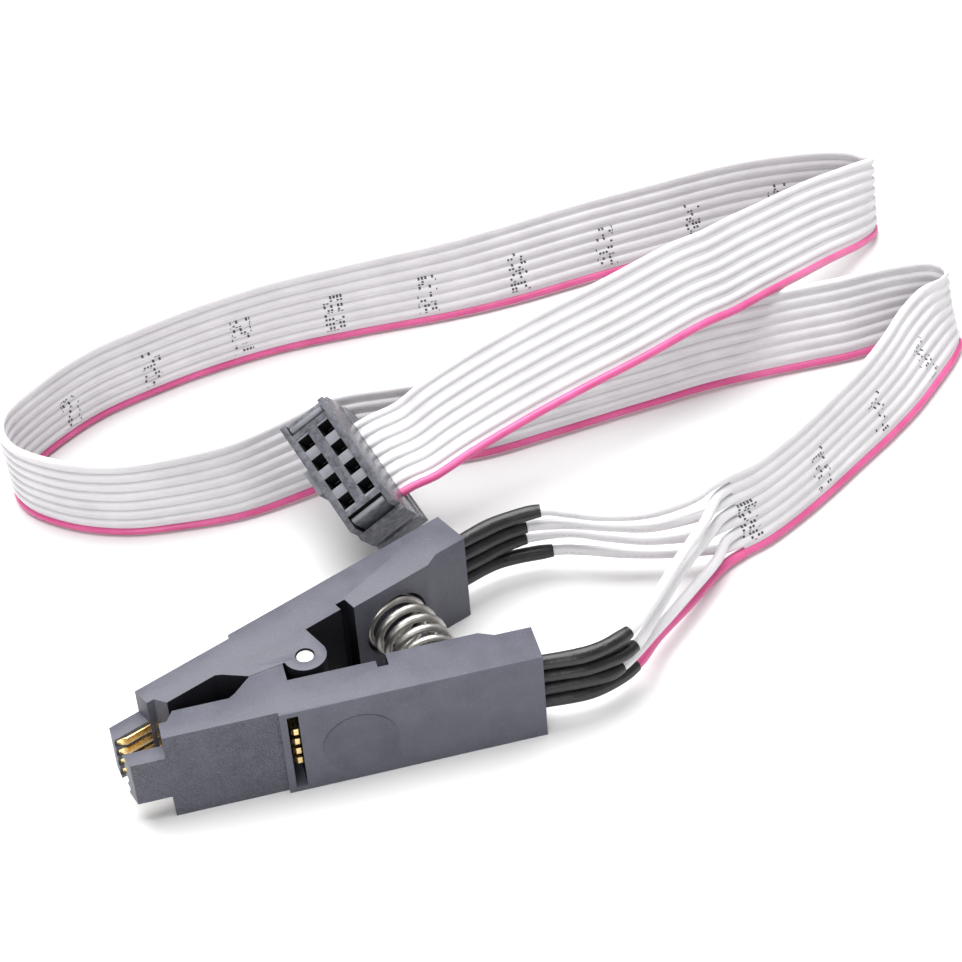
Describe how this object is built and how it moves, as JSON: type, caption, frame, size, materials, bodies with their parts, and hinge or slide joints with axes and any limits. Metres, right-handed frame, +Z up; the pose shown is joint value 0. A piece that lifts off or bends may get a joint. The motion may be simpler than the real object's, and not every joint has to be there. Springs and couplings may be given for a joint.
{
  "type": "ic test clip",
  "caption": "Spring-loaded test clip that grips a small-outline chip, with a flat ribbon lead ending in a two-row pin socket.",
  "frame": {"origin": "centre of the clip's own bounding box at the surface it lies on, with the lead left out", "axes": "+X from the noses towards the lead, along the clip's centre plane; +Y from the near lever to the far lever; +Z up, along the hinge pin, out of the surface it lies on"},
  "size_m": [0.1111, 0.0705, 0.0206],
  "materials": {
    "lever_plastic": "satin",
    "steel": "bright",
    "gold_plate": "bright",
    "sleeve_rubber": "satin",
    "grey_insulation": "satin",
    "pink_insulation": "satin",
    "socket_plastic": "matte"
  },
  "bodies": {
    "near_half": {"near_lever": "lever_plastic", "hinge_pin": "steel", "spring": "steel", "near_contact_1": "gold_plate", "near_contact_2": "gold_plate", "near_contact_3": "gold_plate", "near_contact_4": "gold_plate", "near_sleeve_1": "sleeve_rubber", "near_sleeve_2": "sleeve_rubber", "near_sleeve_3": "sleeve_rubber", "near_sleeve_4": "sleeve_rubber", "near_wire_1": "grey_insulation", "near_wire_2": "grey_insulation", "near_wire_3": "grey_insulation", "near_wire_4": "pink_insulation", "ribbon": "grey_insulation", "socket_body": "socket_plastic", "socket_cover": "socket_plastic", "socket_contact_1": "gold_plate", "socket_contact_2": "gold_plate", "socket_contact_3": "gold_plate", "socket_contact_4": "gold_plate", "socket_contact_5": "gold_plate", "socket_contact_6": "gold_plate", "socket_contact_7": "gold_plate", "socket_contact_8": "gold_plate"},
    "far_half": {"far_lever": "lever_plastic", "far_contact_1": "gold_plate", "far_contact_2": "gold_plate", "far_contact_3": "gold_plate", "far_contact_4": "gold_plate", "far_sleeve_1": "sleeve_rubber", "far_sleeve_2": "sleeve_rubber", "far_sleeve_3": "sleeve_rubber", "far_sleeve_4": "sleeve_rubber", "far_wire_1": "grey_insulation", "far_wire_2": "grey_insulation", "far_wire_3": "grey_insulation", "far_wire_4": "grey_insulation"}
  },
  "joints": [
    {"name": "jaw_hinge", "type": "hinge", "parent": "near_half", "child": "far_half", "pos_m": [-0.0005, 0, 0.00527], "axis": [0, 0, -1], "range_deg": [0, 20], "stiffness_Nm_per_rad": 0.05, "springref_deg": -17.19, "deforming": ["spring", "far_wire_1", "far_wire_2", "far_wire_3", "far_wire_4"]}
  ]
}
